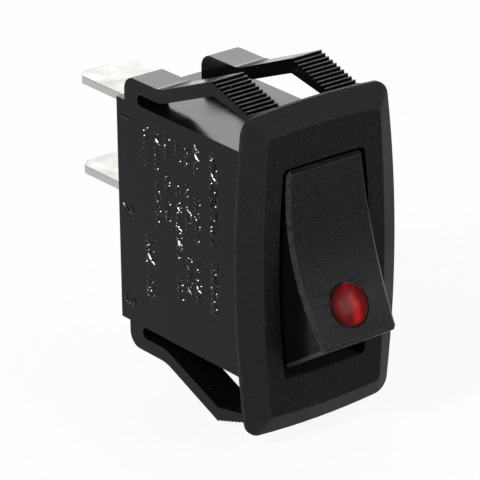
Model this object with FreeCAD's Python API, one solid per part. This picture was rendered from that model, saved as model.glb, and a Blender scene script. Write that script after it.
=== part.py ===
"""Illuminated snap-in rocker switch with two blade terminals.

Frame: millimetres, +Z up, +X to the right as seen from the front, +Y into the panel.
The origin is the centre of the panel cut-out, on the bezel's rear face.
The rocker stands with its upper half pressed in and its lens end out.
"""
import FreeCAD, Part
import math
import os

V = FreeCAD.Vector
X_AXIS = V(1, 0, 0)
Y_AXIS = V(0, 1, 0)

# Lengths below TINY count as none; a cutting shape runs PAST what it cuts,
# and a rib starts ROOTED in the wall that carries it
TINY = 1e-6
PAST = 1.0
ROOTED = 0.1

# Panel cut-out that the switch snaps into
CUTOUT_W = 12.7
CUTOUT_H = 28.6
CUTOUT_GAP = 0.2

# Bezel
BEZEL_W = 18.1
BEZEL_H = 30.9
BEZEL_T = 1.5
BEZEL_RIM = 0.4
BEZEL_SIDE_BOW = 1.05
BEZEL_END_BOW = 0.4
BEZEL_CORNER_R = 1.6
BEVEL_W = 2.15
BEVEL_H = 1.95
FACE_SIDE_BOW = 0.55
FACE_END_BOW = 0.3
FACE_CORNER_R = 0.6

# Body
BODY_DEPTH = 20.8
SIDE_WALL = 1.0
END_WALL = 0.85
FLOOR_T = 1.2
OPENING_BOW = 0.55
OPENING_END_BOW = 0.05
OPENING_CORNER_R = 0.6
OPENING_DEPTH = 2.3
BODY_EDGE_R = 0.25

# Snap arms
ARM_W = 3.5
ARM_SETBACK = 1.4
ARM_SHOULDER_H = 2.42
ARM_SHOULDER_R = 1.4
ARM_SLOT_H = 1.1
ARM_SLOT_SETBACK = 3.35
ARM_BEND_SETBACK = 6.8
ARM_BEND_R = 4.0
ARM_PEAK_Y = 6.3
ARM_PEAK_H = 5.55
ARM_FRONT_Y = 1.1
ARM_FRONT_T = 0.75
ARM_PEAK_T = 1.4
ARM_PEAK_R = 0.5
ARM_OVER = 0.5
TOOTH_COUNT = 10
TOOTH_DEPTH = 0.16

# Rocker, in its middle position
PIVOT_Y = 2.4
ROCKER_TILT = 17.5
LIP_R = 10.6
LIP_ANGLE = 49.7
DISH_R = 27.0
END_FLARE = 15.0
ROCKER_GAP = 0.3
LIP_GAP = 0.2
ROCKER_DRAFT = 0.4
ROCKER_CHAMFER = 0.3
FACE_T = 1.2
CHEEK_T = 0.9
END_T = 0.95
SKIRT_Y = 1.6
LUG_Y = 4.8
LUG_HALF = 3.4
LUG_NOSE_HALF = 1.6
LUG_R = 0.6
TRUNNION_R = 1.2
TRUNNION_L = 0.5
TRUNNION_GAP = 0.05
SOCKET_END_GAP = 0.1
BOSS_R = 1.8
BOSS_END_Y = 8.2
BORE_END_Y = -0.9
RIB_T = 0.8
RIB_END_Y = 1.9
LEDGE_T = 0.6
LEDGE_W = 0.5
LEDGE_Z = 4.2

# Lens
LENS_R = 2.07
LENS_OFFSET = 4.85
LENS_DOME = 0.35
LENS_SEAT_T = 0.75
LENS_FLANGE_R = 2.6
LENS_FLANGE_T = 0.6
LENS_GAP = 0.05

# Lamp and its holder
LAMP_R = 1.6
LAMP_L = 5.9
LAMP_TIP = 1.2
LAMP_TO_LENS = 0.25
LAMP_WIRE_X = 0.6
HOLDER_Y = 2.7
HOLDER_T = 0.8
HOLDER_TOP_Z = 6.0
HOLDER_LOW_Z = -8.2
HOLDER_TUBE_T = 0.6
HOLDER_TUBE_PAST = 0.3
HOLDER_GAP = 0.12
WIRE_R = 0.17
WIRE_BEND_R = 0.5
JOINT_GAP = 0.02
RESISTOR_R = 0.72
RESISTOR_L = 3.2
RESISTOR_Z = -3.8
RESISTOR_LIFT = 0.25
RESISTOR_WIRE_UP = 0.3
RESISTOR_WIRE_DOWN = 1.0
PAD_WIRE_RUN = 0.35
LAMP_WIRE_OUT = 0.6
LAMP_WIRE_LIFT = 0.4
LAMP_WIRE_TURN = 1.2
LAMP_WIRE_RUN = 1.6
LAMP_WIRE_JOINT = 0.7
PAD_X = 3.0
PAD_R = 0.72
PAD_T = 0.3
PAD_SHANK_R = 0.35
PAD_SHANK_OUT = 0.2

# Plunger and springs
PLUNGER_R = 1.05
PLUNGER_GAP = 0.05
PLUNGER_REACH = 8.6
PLUNGER_IN_BORE = 5.0
PLUNGER_SPRING_R = 0.9
PLUNGER_SPRING_WIRE = 0.12
PLUNGER_SPRING_TURNS = 5
LAMP_SPRING_R = 0.7
LAMP_SPRING_WIRE = 0.1
LAMP_SPRING_TURNS = 7
SPRING_END_GAP = 0.05
COIL_STEPS = 8
WIRE_SIDES = 5

# Rocking contact
CONTACT_SWING = 8.75
BLADE_W = 3.4
BLADE_T = 0.5
BLADE_DISH = 15.0
BLADE_UP = 7.2
BLADE_DOWN = 4.8
BLADE_GAP = 0.22
BLADE_VALLEY_R = 0.6
FULCRUM_GAP = 0.03
CONTACT_Z = 6.1
RIVET_HEAD_R = 1.1
RIVET_HEAD_T = 0.5
RIVET_RIM_T = 0.3
RIVET_SHANK_R = 0.5
RIVET_TAIL_R = 0.75
RIVET_TAIL_T = 0.25
CONTACT_GAP = 0.05

# Terminals
TAB_W = 6.3
TAB_T = 0.8
TAB_L = 10.3
TAB_CHAMFER = 1.0
TERMINAL_PITCH = 9.0
SLOT_GAP = 0.1
SHOULDER_W = 7.5
SHOULDER_L = 1.5
LEG_W = 5.0
SHELF_REACH = 4.1
SHELF_BAND = 2.4
BEND_IN_R = 0.3
FINGER_W = 1.3
FINGER_PAST = 0.7
EAR_W = 0.4
EAR_GAP = 0.12
EAR_OUT = 0.7
PIP_W = 0.3
PIP_L = 0.7

# Worked out from the values above
BODY_W = CUTOUT_W - 2 * CUTOUT_GAP
CAVITY_W = BODY_W - 2 * SIDE_WALL
LIP_Y = PIVOT_Y - LIP_R * math.cos(math.radians(LIP_ANGLE))
LIP_Z = LIP_R * math.sin(math.radians(LIP_ANGLE))
OPENING_H = 2 * (math.sqrt(LIP_R ** 2 - (PIVOT_Y + BEZEL_T) ** 2) + LIP_GAP)
BODY_H = OPENING_H + 2 * END_WALL
FLOOR_Y = BODY_DEPTH - FLOOR_T
ROCKER_HALF = CAVITY_W / 2 - ROCKER_GAP
CHEEK_IN = ROCKER_HALF - CHEEK_T
DISH_SAG = DISH_R - math.sqrt(DISH_R ** 2 - LIP_Z ** 2)
DISH_CENTRE_Y = LIP_Y + DISH_SAG - DISH_R
HOLDER_REAR_Y = HOLDER_Y + HOLDER_T
VALLEY_Y = PIVOT_Y + PLUNGER_REACH + BLADE_GAP
FULCRUM_Y = VALLEY_Y + BLADE_T / math.cos(math.radians(BLADE_DISH))


def box(x0, x1, y0, y1, z0, z1):
    """Block between two corners."""
    return Part.makeBox(x1 - x0, y1 - y0, z1 - z0, V(x0, y0, z0))


def rod(radius, start, end):
    """Cylinder between two points."""
    run = end - start
    return Part.makeCylinder(radius, run.Length, start, run)


def corner_path(corners, closed=True):
    """Wire through (point, radius) corners, with each corner rounded to its radius."""
    count = len(corners)
    edges = []
    marks = []
    for index, (point, radius) in enumerate(corners):
        if radius <= 0 or (not closed and index in (0, count - 1)):
            marks.append((point, point))
            continue
        back = (corners[index - 1][0] - point).normalize()
        ahead = (corners[(index + 1) % count][0] - point).normalize()
        half = back.getAngle(ahead) / 2
        reach = radius / math.tan(half)
        inward = (back + ahead).normalize()
        centre = point + inward * (radius / math.sin(half))
        start = point + back * reach
        end = point + ahead * reach
        marks.append((start, end))
        edges.append((index, Part.Arc(start, centre - inward * radius, end).toShape()))
    arcs = dict(edges)
    chain = []
    for index in range(count if closed else count - 1):
        if index in arcs:
            chain.append(arcs[index])
        here = marks[index][1]
        there = marks[(index + 1) % count][0]
        if here.distanceToPoint(there) > TINY:
            chain.append(Part.LineSegment(here, there).toShape())
    return Part.Wire(chain)


def side_profile(points, x0, x1):
    """Solid of a closed (y, z, radius) outline, from x0 to x1."""
    wire = corner_path([(V(x0, y, z), radius) for y, z, radius in points])
    return Part.Face(wire).extrude(V(x1 - x0, 0, 0))


def flat_plate(points, z0, z1):
    """Solid of a closed (x, y) outline, from z0 to z1."""
    wire = Part.makePolygon([V(x, y, z0) for x, y in points + points[:1]])
    return Part.Face(wire).extrude(V(0, 0, z1 - z0))


def front_plate(points, y0, y1):
    """Solid of a closed (x, z) outline, from y0 to y1."""
    wire = Part.makePolygon([V(x, y0, z) for x, z in points + points[:1]])
    return Part.Face(wire).extrude(V(0, y1 - y0, 0))


def barrel(width, height, side_bow, end_bow, corner_r, y0, y1):
    """Block with four outward-bowed sides and rounded corners, seen from the front."""
    x_mid, z_mid = width / 2, height / 2
    x_end, z_end = x_mid - side_bow, z_mid - end_bow
    edges = [
        Part.Arc(V(x_end, y0, -z_end), V(x_mid, y0, 0), V(x_end, y0, z_end)).toShape(),
        Part.Arc(V(x_end, y0, z_end), V(0, y0, z_mid), V(-x_end, y0, z_end)).toShape(),
        Part.Arc(V(-x_end, y0, z_end), V(-x_mid, y0, 0), V(-x_end, y0, -z_end)).toShape(),
        Part.Arc(V(-x_end, y0, -z_end), V(0, y0, -z_mid), V(x_end, y0, -z_end)).toShape(),
    ]
    block = Part.Face(Part.Wire(edges)).extrude(V(0, y1 - y0, 0))
    if not corner_r:
        return block
    uprights = [edge for edge in block.Edges if runs_along_y(edge)]
    return block.makeFillet(corner_r, uprights)


def runs_along_y(edge):
    """Whether an edge is straight and parallel to Y."""
    if not isinstance(edge.Curve, Part.Line):
        return False
    run = edge.Vertexes[-1].Point - edge.Vertexes[0].Point
    return abs(run.x) < TINY and abs(run.z) < TINY


def face_at(shape, y):
    """The flat face of a shape that lies at one y."""
    flats = [face for face in shape.Faces if isinstance(face.Surface, Part.Plane)]
    return min(flats, key=lambda face: abs(face.CenterOfMass.y - y) + face.BoundBox.YLength)


def turned(shape, y, degrees):
    """A copy turned about the X line through (y, z = 0)."""
    copy = shape.copy()
    copy.rotate(V(0, y, 0), X_AXIS, degrees)
    return copy


def turned_point(point, y, degrees):
    """A point turned about the X line through (y, z = 0)."""
    angle = math.radians(degrees)
    rel_y, rel_z = point.y - y, point.z
    return V(point.x, y + rel_y * math.cos(angle) - rel_z * math.sin(angle),
             rel_y * math.sin(angle) + rel_z * math.cos(angle))


def with_rocker(shape):
    """A piece of the rocker, turned from the middle position to the rest position."""
    return turned(shape, PIVOT_Y, -ROCKER_TILT)


def with_contact(shape):
    """A piece of the rocking contact, turned from the middle position to the open one."""
    return turned(shape, FULCRUM_Y, CONTACT_SWING)


def lens_frame(shape):
    """Moves a piece built on the Y axis to the lens axis, with y = 0 on the dished face."""
    lean = math.degrees(math.asin(LENS_OFFSET / DISH_R))
    moved = shape.copy()
    moved.rotate(V(0, 0, 0), X_AXIS, -lean)
    moved.translate(lens_seat())
    return moved


def lens_seat():
    """Where the lens axis meets the dished face."""
    return V(0, DISH_CENTRE_Y + math.sqrt(DISH_R ** 2 - LENS_OFFSET ** 2), -LENS_OFFSET)


def lens_point(x, y):
    """A point given on the lens axis, in the rocker's middle position."""
    lean = math.asin(LENS_OFFSET / DISH_R)
    return lens_seat() + V(x, y * math.cos(lean), -y * math.sin(lean))


def coil(radius, wire_r, turns, start, end):
    """Coil spring from start to end, its wire held inside both ends."""
    run = end - start
    inset = wire_r + SPRING_END_GAP
    length = run.Length - 2 * inset
    mean_r = radius - wire_r
    steps = turns * COIL_STEPS
    points = []
    for step in range(steps + 1):
        angle = 2 * math.pi * step / COIL_STEPS
        points.append(V(mean_r * math.cos(angle), mean_r * math.sin(angle), inset + length * step / steps))
    section = wire_section(points[0], points[1], wire_r)
    body = Part.makePolygon(points).makePipeShell([section], True, True, 1)
    body.Placement = FreeCAD.Placement(start, FreeCAD.Rotation(V(0, 0, 1), run))
    return body


def wire_section(start, ahead, wire_r):
    """Many-sided outline of a thin wire at its start, square to the wire."""
    heading = ahead - start
    across = heading.cross(X_AXIS if abs(heading.x) < heading.Length / 2 else Y_AXIS).normalize() * wire_r
    lift = across.cross(heading).normalize() * wire_r
    ring = []
    for side in range(WIRE_SIDES):
        angle = 2 * math.pi * side / WIRE_SIDES
        ring.append(start + across * math.cos(angle) + lift * math.sin(angle))
    return Part.makePolygon(ring + ring[:1])


def lead(points):
    """Thin wire through the points, its inner corners rounded."""
    path = corner_path([(point, WIRE_BEND_R) for point in points], closed=False)
    return path.makePipeShell([wire_section(points[0], points[1], WIRE_R)], True, False)


def domed_disc(radius, rim, rise):
    """Disc on the Y axis from y = 0 forward, with a domed front that rises past its rim."""
    ball_r = (radius ** 2 + rise ** 2) / (2 * rise)
    ball = Part.makeSphere(ball_r, V(0, ball_r - rim - rise, 0))
    crown = ball.common(rod(radius + PAST, V(0, -rim, 0), V(0, -rim - 2 * rise, 0)))
    return rod(radius, V(0, 0, 0), V(0, -rim, 0)).fuse(crown)


def rivet(hidden_length):
    """Contact rivet on the Y axis: domed head at y < 0, shank through, tail at the back."""
    head = domed_disc(RIVET_HEAD_R, RIVET_RIM_T, RIVET_HEAD_T - RIVET_RIM_T)
    shank = rod(RIVET_SHANK_R, V(0, 0, 0), V(0, hidden_length, 0))
    tail = rod(RIVET_TAIL_R, V(0, hidden_length, 0), V(0, hidden_length + RIVET_TAIL_T, 0))
    return head.fuse([shank, tail])


def moving_rivet_place():
    """Placement of the moving rivet on the blade's rear side, in the middle position."""
    lean = math.radians(BLADE_DISH)
    along = CONTACT_Z / math.cos(lean)
    seat = V(0, FULCRUM_Y - along * math.sin(lean), along * math.cos(lean))
    return FreeCAD.Placement(seat, FreeCAD.Rotation(X_AXIS, 180 + BLADE_DISH))


def closed_contact_point():
    """Where the moving rivet's crown stands when the contact is closed."""
    crown = moving_rivet_place().multVec(V(0, -RIVET_HEAD_T, 0))
    return turned_point(crown, FULCRUM_Y, -CONTACT_SWING)


SHELF_Y = closed_contact_point().y + CONTACT_GAP + RIVET_HEAD_T


def arm_profile():
    """(y, z) corners of one upper snap arm, above the body's top face at z = 0."""
    rear_y = BODY_DEPTH - ARM_SETBACK
    bend_y = BODY_DEPTH - ARM_BEND_SETBACK
    slot_y = BODY_DEPTH - ARM_SLOT_SETBACK - ARM_SLOT_H / 2
    front_h = CUTOUT_H / 2 + ARM_OVER - BODY_H / 2
    pitch = (ARM_PEAK_Y - ARM_FRONT_Y) / TOOTH_COUNT
    rise = (ARM_PEAK_H - front_h) / TOOTH_COUNT
    points = [(rear_y, -END_WALL / 2, 0), (rear_y, ARM_SHOULDER_H, ARM_SHOULDER_R),
              (bend_y, ARM_SHOULDER_H, ARM_BEND_R), (ARM_PEAK_Y, ARM_PEAK_H, 0)]
    for step in reversed(range(TOOTH_COUNT)):
        y = ARM_FRONT_Y + step * pitch
        crest = front_h + step * rise
        points.append((y + pitch, crest - TOOTH_DEPTH, 0))
        points.append((y, crest, 0))
    points += [(ARM_FRONT_Y, front_h - ARM_FRONT_T, 0),
               (ARM_PEAK_Y, ARM_PEAK_H - ARM_PEAK_T, ARM_PEAK_R),
               (bend_y, ARM_SLOT_H, ARM_BEND_R),
               (slot_y, ARM_SLOT_H, 0)]
    return points, slot_y


def snap_arm(x0):
    """One upper snap arm, its left side at x0."""
    points, slot_y = arm_profile()
    top = BODY_H / 2
    corners = [(V(x0, y, top + z), radius) for y, z, radius in points]
    half_slot = ARM_SLOT_H / 2
    open_path = corner_path(corners, closed=False)
    slot_end = Part.Arc(V(x0, slot_y, top + ARM_SLOT_H), V(x0, slot_y + half_slot, top + half_slot),
                        V(x0, slot_y, top)).toShape()
    root = [V(x0, slot_y, top), V(x0, slot_y, top - END_WALL / 2), corners[0][0]]
    close = [Part.LineSegment(root[i], root[i + 1]).toShape() for i in range(2)]
    wire = Part.Wire(open_path.Edges + [slot_end] + close)
    return Part.Face(wire).extrude(V(ARM_W, 0, 0))


def bezel():
    """Bowed bezel with a thin rim and a broad bevel round its face."""
    rim = barrel(BEZEL_W, BEZEL_H, BEZEL_SIDE_BOW, BEZEL_END_BOW, BEZEL_CORNER_R, -BEZEL_RIM, 0)
    front = barrel(BEZEL_W - 2 * BEVEL_W, BEZEL_H - 2 * BEVEL_H, FACE_SIDE_BOW, FACE_END_BOW,
                   FACE_CORNER_R, -BEZEL_T, 0)
    wires = [face_at(rim, -BEZEL_RIM).OuterWire, face_at(front, -BEZEL_T).OuterWire]
    return rim.fuse(Part.makeLoft(wires, True, True))


def with_panel_seats(shell):
    """Marks off the two strips of the bezel's rear face that bear on the panel beside the cut-out."""
    seats = []
    for side in (-1, 1):
        inner, outer = side * CUTOUT_W / 2, side * BEZEL_W
        corners = [V(inner, 0, -BEZEL_H), V(outer, 0, -BEZEL_H), V(outer, 0, BEZEL_H), V(inner, 0, BEZEL_H)]
        seats.append(Part.Face(Part.makePolygon(corners + corners[:1])))
    return shell.generalFuse(seats)[0].Solids[0]


def housing():
    """Bezel, hollow body, four snap arms, trunnion sockets and terminal slots in one."""
    half_w, half_h = BODY_W / 2, BODY_H / 2
    body = box(-half_w, half_w, -BEZEL_RIM, BODY_DEPTH, -half_h, half_h)
    rear = [edge for edge in body.Edges if edge.BoundBox.YMin > BODY_DEPTH - TINY]
    body = body.makeFillet(BODY_EDGE_R, rear)
    shell = bezel().fuse(body)
    arms = []
    for x0 in (-half_w, half_w - ARM_W):
        arm = snap_arm(x0)
        arms += [arm, arm.mirror(V(0, 0, 0), V(0, 0, 1))]
    shell = shell.fuse(arms)
    opening = barrel(CAVITY_W, OPENING_H, OPENING_BOW, OPENING_END_BOW, OPENING_CORNER_R,
                     -BEZEL_T - PAST, OPENING_DEPTH)
    cavity = box(-CAVITY_W / 2, CAVITY_W / 2, OPENING_DEPTH - BEZEL_T, FLOOR_Y,
                 -OPENING_H / 2, OPENING_H / 2)
    socket_half = ROCKER_HALF + ROCKER_GAP + TRUNNION_L + SOCKET_END_GAP
    socket = rod(TRUNNION_R + TRUNNION_GAP, V(-socket_half, PIVOT_Y, 0), V(socket_half, PIVOT_Y, 0))
    shell = shell.cut([opening, cavity, socket])
    slot_w, slot_t = TAB_W / 2 + SLOT_GAP, TAB_T / 2 + SLOT_GAP
    for place in (1, 0, -1):
        z = place * TERMINAL_PITCH
        shell = shell.cut(box(-slot_w, slot_w, FLOOR_Y - PAST, BODY_DEPTH + PAST, z - slot_t, z + slot_t))
    return with_panel_seats(shell.removeSplitter())


def rocker_block():
    """Outer form of the rocker: bowed and drafted sides, dished face, flared ends, side lugs."""
    front_y = LIP_Y - PAST
    tall = 2 * OPENING_H
    bow = OPENING_BOW * (tall / OPENING_H) ** 2
    sides = []
    for y, half in ((front_y, ROCKER_HALF - ROCKER_DRAFT), (0, ROCKER_HALF)):
        block = barrel(2 * half, tall, bow, OPENING_END_BOW, 0, y, y + PAST)
        sides.append(face_at(block, y).OuterWire)
    taper = Part.makeLoft(sides, True, True)
    straight = barrel(2 * ROCKER_HALF, tall, bow, OPENING_END_BOW, 0, 0, LUG_Y + PAST)
    spread = math.tan(math.radians(END_FLARE))
    low_z = LIP_Z + (SKIRT_Y - LIP_Y) * spread
    half_outline = [(LIP_Y, LIP_Z, 0), (SKIRT_Y, low_z, 0), (SKIRT_Y, LUG_HALF, LUG_R),
                    (LUG_Y, LUG_NOSE_HALF, LUG_R)]
    outline = half_outline + [(y, -z, r) for y, z, r in reversed(half_outline)]
    profile = side_profile(outline, -CAVITY_W, CAVITY_W)
    dish = rod(DISH_R, V(-CAVITY_W, DISH_CENTRE_Y, 0), V(CAVITY_W, DISH_CENTRE_Y, 0))
    return taper.fuse(straight).removeSplitter().common(profile).cut(dish)


def rocker_hollow():
    """Space inside the rocker's face, end walls and cheeks."""
    spread = math.tan(math.radians(END_FLARE))
    top_z = LIP_Z - END_T
    far_y = LUG_Y + PAST
    outline = [(LIP_Y, top_z, 0), (far_y, top_z + (far_y - LIP_Y) * spread, 0)]
    outline += [(y, -z, 0) for y, z, _ in reversed(outline)]
    space = side_profile(outline, -CHEEK_IN, CHEEK_IN)
    return space.cut(rod(DISH_R + FACE_T, V(-CAVITY_W, DISH_CENTRE_Y, 0), V(CAVITY_W, DISH_CENTRE_Y, 0)))


def rocker():
    """Rocker moulding with its trunnions, plunger boss, ribs and lens seat."""
    block = rocker_block()
    dished = [face for face in block.Faces if is_dish(face)]
    rims = [edge for face in dished for edge in face.Edges]
    block = block.makeChamfer(ROCKER_CHAMFER, rims + end_corners(block))
    face_y = DISH_CENTRE_Y + DISH_R + FACE_T / 2
    inner = rocker_hollow()
    core = rod(BOSS_R, V(0, face_y, 0), V(0, BOSS_END_Y, 0))
    wall_x, ledge_x = CHEEK_IN + ROOTED, CHEEK_IN - LEDGE_W
    ribs = [box(-wall_x, wall_x, face_y, RIB_END_Y, -RIB_T / 2, RIB_T / 2)]
    for x0, x1 in ((-wall_x, -ledge_x), (ledge_x, wall_x)):
        for z in (-LEDGE_Z, LEDGE_Z):
            ribs.append(box(x0, x1, face_y - PAST, HOLDER_Y, z - LEDGE_T / 2, z + LEDGE_T / 2))
    shell = block.cut(inner).fuse([part.common(inner) for part in [core] + ribs])
    reach = ROCKER_HALF + ROCKER_GAP + TRUNNION_L
    trunnions = rod(TRUNNION_R, V(-reach, PIVOT_Y, 0), V(reach, PIVOT_Y, 0))
    middle = box(-CHEEK_IN, CHEEK_IN, PIVOT_Y - 2 * TRUNNION_R, PIVOT_Y + 2 * TRUNNION_R,
                 -2 * TRUNNION_R, 2 * TRUNNION_R)
    shell = shell.fuse(trunnions.cut(middle))
    bore = rod(PLUNGER_R + PLUNGER_GAP, V(0, BORE_END_Y, 0), V(0, BOSS_END_Y + PAST, 0))
    hole = rod(LENS_R + LENS_GAP, V(0, -PAST, 0), V(0, FACE_T + PAST, 0))
    seat = rod(LENS_FLANGE_R + LENS_GAP, V(0, LENS_SEAT_T, 0), V(0, FACE_T + PAST, 0))
    shell = shell.cut([bore, lens_frame(hole), lens_frame(seat)])
    return with_rocker(shell.removeSplitter())


def is_dish(face):
    """Whether a face is part of the dished front."""
    return isinstance(face.Surface, Part.Cylinder) and abs(face.Surface.Radius - DISH_R) < TINY


def end_corners(block):
    """Edges where the rocker's sides meet its two flared ends."""
    upright = math.cos(math.radians(END_FLARE)) - TINY
    flats = [face for face in block.Faces if isinstance(face.Surface, Part.Plane)]
    ends = [face for face in flats if abs(face.normalAt(0, 0).z) > upright]
    return [edge for face in ends for edge in face.Edges if abs(edge.CenterOfMass.x) > CHEEK_IN]


def lens():
    """Domed lens with a flange behind the rocker's face."""
    back = LENS_SEAT_T + LENS_FLANGE_T
    front = domed_disc(LENS_R, LENS_SEAT_T, LENS_DOME)
    front.translate(V(0, LENS_SEAT_T, 0))
    flange = rod(LENS_FLANGE_R, V(0, LENS_SEAT_T, 0), V(0, back, 0))
    return with_rocker(lens_frame(front.fuse(flange)))


LAMP_FRONT = LENS_SEAT_T + LENS_FLANGE_T + LAMP_TO_LENS
LAMP_BACK = LAMP_FRONT + LAMP_L


def lamp():
    """Sealed glass lamp with a round tip."""
    glass = domed_disc(LAMP_R, LAMP_L - LAMP_TIP, LAMP_TIP)
    glass.translate(V(0, LAMP_BACK, 0))
    return with_rocker(lens_frame(glass))


def lamp_holder():
    """Carrier plate in the rocker, with a tube round the lamp and room for the boss."""
    half = CHEEK_IN - HOLDER_GAP
    plate = box(-half, half, HOLDER_Y, HOLDER_REAR_Y, HOLDER_LOW_Z, HOLDER_TOP_Z)
    tube_front = LENS_SEAT_T + LENS_FLANGE_T + LENS_GAP
    tube_back = (HOLDER_REAR_Y - lens_seat().y) + HOLDER_TUBE_PAST
    sleeve = rod(LAMP_R + LENS_GAP + HOLDER_TUBE_T, V(0, tube_front, 0), V(0, tube_back, 0))
    bore = rod(LAMP_R + LENS_GAP, V(0, tube_front - PAST, 0), V(0, tube_back + 2 * PAST, 0))
    boss_hole = rod(BOSS_R + HOLDER_GAP, V(0, HOLDER_Y - PAST, 0), V(0, HOLDER_REAR_Y + PAST, 0))
    cuts = [lens_frame(bore), boss_hole]
    for x in (-PAD_X, PAD_X):
        cuts.append(rod(PAD_SHANK_R + JOINT_GAP, V(x, HOLDER_Y - PAST, 0), V(x, HOLDER_REAR_Y + PAST, 0)))
    return with_rocker(plate.fuse(lens_frame(sleeve)).cut(cuts).removeSplitter())


def contact_pad(x):
    """Brass pad riveted through the holder, where a lamp spring bears."""
    head = rod(PAD_R, V(x, HOLDER_REAR_Y, 0), V(x, HOLDER_REAR_Y + PAD_T, 0))
    shank = rod(PAD_SHANK_R, V(x, HOLDER_Y - PAD_SHANK_OUT, 0), V(x, HOLDER_REAR_Y, 0))
    return with_rocker(head.fuse(shank))


def resistor_ends():
    """The middles of the resistor's lower and upper ends."""
    y = HOLDER_REAR_Y + RESISTOR_LIFT + RESISTOR_R
    return V(PAD_X, y, RESISTOR_Z - RESISTOR_L / 2), V(PAD_X, y, RESISTOR_Z + RESISTOR_L / 2)


def resistor():
    """Small barrel resistor beside the lamp."""
    low, high = resistor_ends()
    return with_rocker(rod(RESISTOR_R, low, high))


def pad_edge(x):
    """Where a wire meets the lower edge of a contact pad, on the holder's rear face."""
    return V(x, HOLDER_REAR_Y + WIRE_R + JOINT_GAP, -PAD_R - JOINT_GAP)


def resistor_leads():
    """Wires at the resistor's two ends: to the right pad and down to the lamp's wire."""
    low, high = resistor_ends()
    end = pad_edge(PAD_X)
    upper = lead([high, high + V(0, 0, RESISTOR_WIRE_UP), end - V(0, 0, PAD_WIRE_RUN), end])
    lower = lead([low, low - V(0, 0, RESISTOR_WIRE_DOWN)])
    return with_rocker(upper), with_rocker(lower)


def lamp_leads():
    """The lamp's two wires: to the left pad and to the resistor's lower wire."""
    out_y = LAMP_BACK + LAMP_WIRE_OUT
    end = pad_edge(-PAD_X)
    past = lens_point(-LAMP_WIRE_X, out_y)
    left = lead([lens_point(-LAMP_WIRE_X, LAMP_BACK), past,
                 V(end.x, end.y + LAMP_WIRE_LIFT, past.z + LAMP_WIRE_TURN),
                 end - V(0, 0, LAMP_WIRE_RUN), end])
    low, _ = resistor_ends()
    meet = V(PAD_X - WIRE_R - JOINT_GAP, low.y, low.z - LAMP_WIRE_JOINT)
    past = lens_point(LAMP_WIRE_X, out_y)
    right = lead([lens_point(LAMP_WIRE_X, LAMP_BACK), past,
                  V((past.x + meet.x) / 2, past.y, meet.z), meet])
    return with_rocker(left), with_rocker(right)


def plunger():
    """Round-nosed plunger in the rocker's boss."""
    rear = BOSS_END_Y - PLUNGER_IN_BORE
    nose = PIVOT_Y + PLUNGER_REACH - PLUNGER_R
    shaft = rod(PLUNGER_R, V(0, rear, 0), V(0, nose, 0))
    ball = Part.makeSphere(PLUNGER_R, V(0, nose, 0))
    return with_rocker(shaft.fuse(ball).removeSplitter())


def plunger_spring():
    """Coil spring behind the plunger, in the boss."""
    spring = coil(PLUNGER_SPRING_R, PLUNGER_SPRING_WIRE, PLUNGER_SPRING_TURNS,
                  V(0, BORE_END_Y, 0), V(0, BOSS_END_Y - PLUNGER_IN_BORE, 0))
    return with_rocker(spring)


def lamp_spring(x):
    """Coil spring that joins a terminal to a pad of the rocker."""
    pad = turned_point(V(x, HOLDER_REAR_Y + PAD_T, 0), PIVOT_Y, -ROCKER_TILT)
    return coil(LAMP_SPRING_R, LAMP_SPRING_WIRE, LAMP_SPRING_TURNS, V(x, SHELF_Y, 0), pad)


def moving_contact():
    """Dished contact blade that rocks on terminal 2."""
    slope = math.tan(math.radians(BLADE_DISH))
    depth = FULCRUM_Y - VALLEY_Y
    outline = [(VALLEY_Y - slope * BLADE_UP, BLADE_UP, 0), (VALLEY_Y, 0, BLADE_VALLEY_R),
               (VALLEY_Y - slope * BLADE_DOWN, -BLADE_DOWN, 0),
               (VALLEY_Y + depth - slope * BLADE_DOWN, -BLADE_DOWN, 0), (FULCRUM_Y, 0, 0),
               (VALLEY_Y + depth - slope * BLADE_UP, BLADE_UP, 0)]
    blade = side_profile(outline, -BLADE_W / 2, BLADE_W / 2)
    hole = rod(RIVET_SHANK_R + JOINT_GAP, V(0, -PAST, 0), V(0, BLADE_T + PAST, 0))
    hole.Placement = moving_rivet_place().multiply(hole.Placement)
    return with_contact(blade.cut(hole))


def moving_rivet():
    """Silver contact rivet at the blade's upper end."""
    piece = rivet(BLADE_T)
    piece.Placement = moving_rivet_place()
    return with_contact(piece)


def fixed_rivet():
    """Silver contact rivet on terminal 1's shelf."""
    piece = rivet(TAB_T)
    piece.translate(V(0, SHELF_Y, closed_contact_point().z))
    return piece


def tab_outline():
    """(x, y) corners of the blade and the shoulders that seat on the floor, right to left."""
    half, tip = TAB_W / 2, BODY_DEPTH + TAB_L
    cut = TAB_CHAMFER
    wide = SHOULDER_W / 2
    return [(wide, FLOOR_Y - SHOULDER_L), (wide, FLOOR_Y), (half, FLOOR_Y), (half, tip - cut),
            (half - cut, tip), (cut - half, tip), (-half, tip - cut), (-half, FLOOR_Y),
            (-wide, FLOOR_Y), (-wide, FLOOR_Y - SHOULDER_L)]


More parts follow.
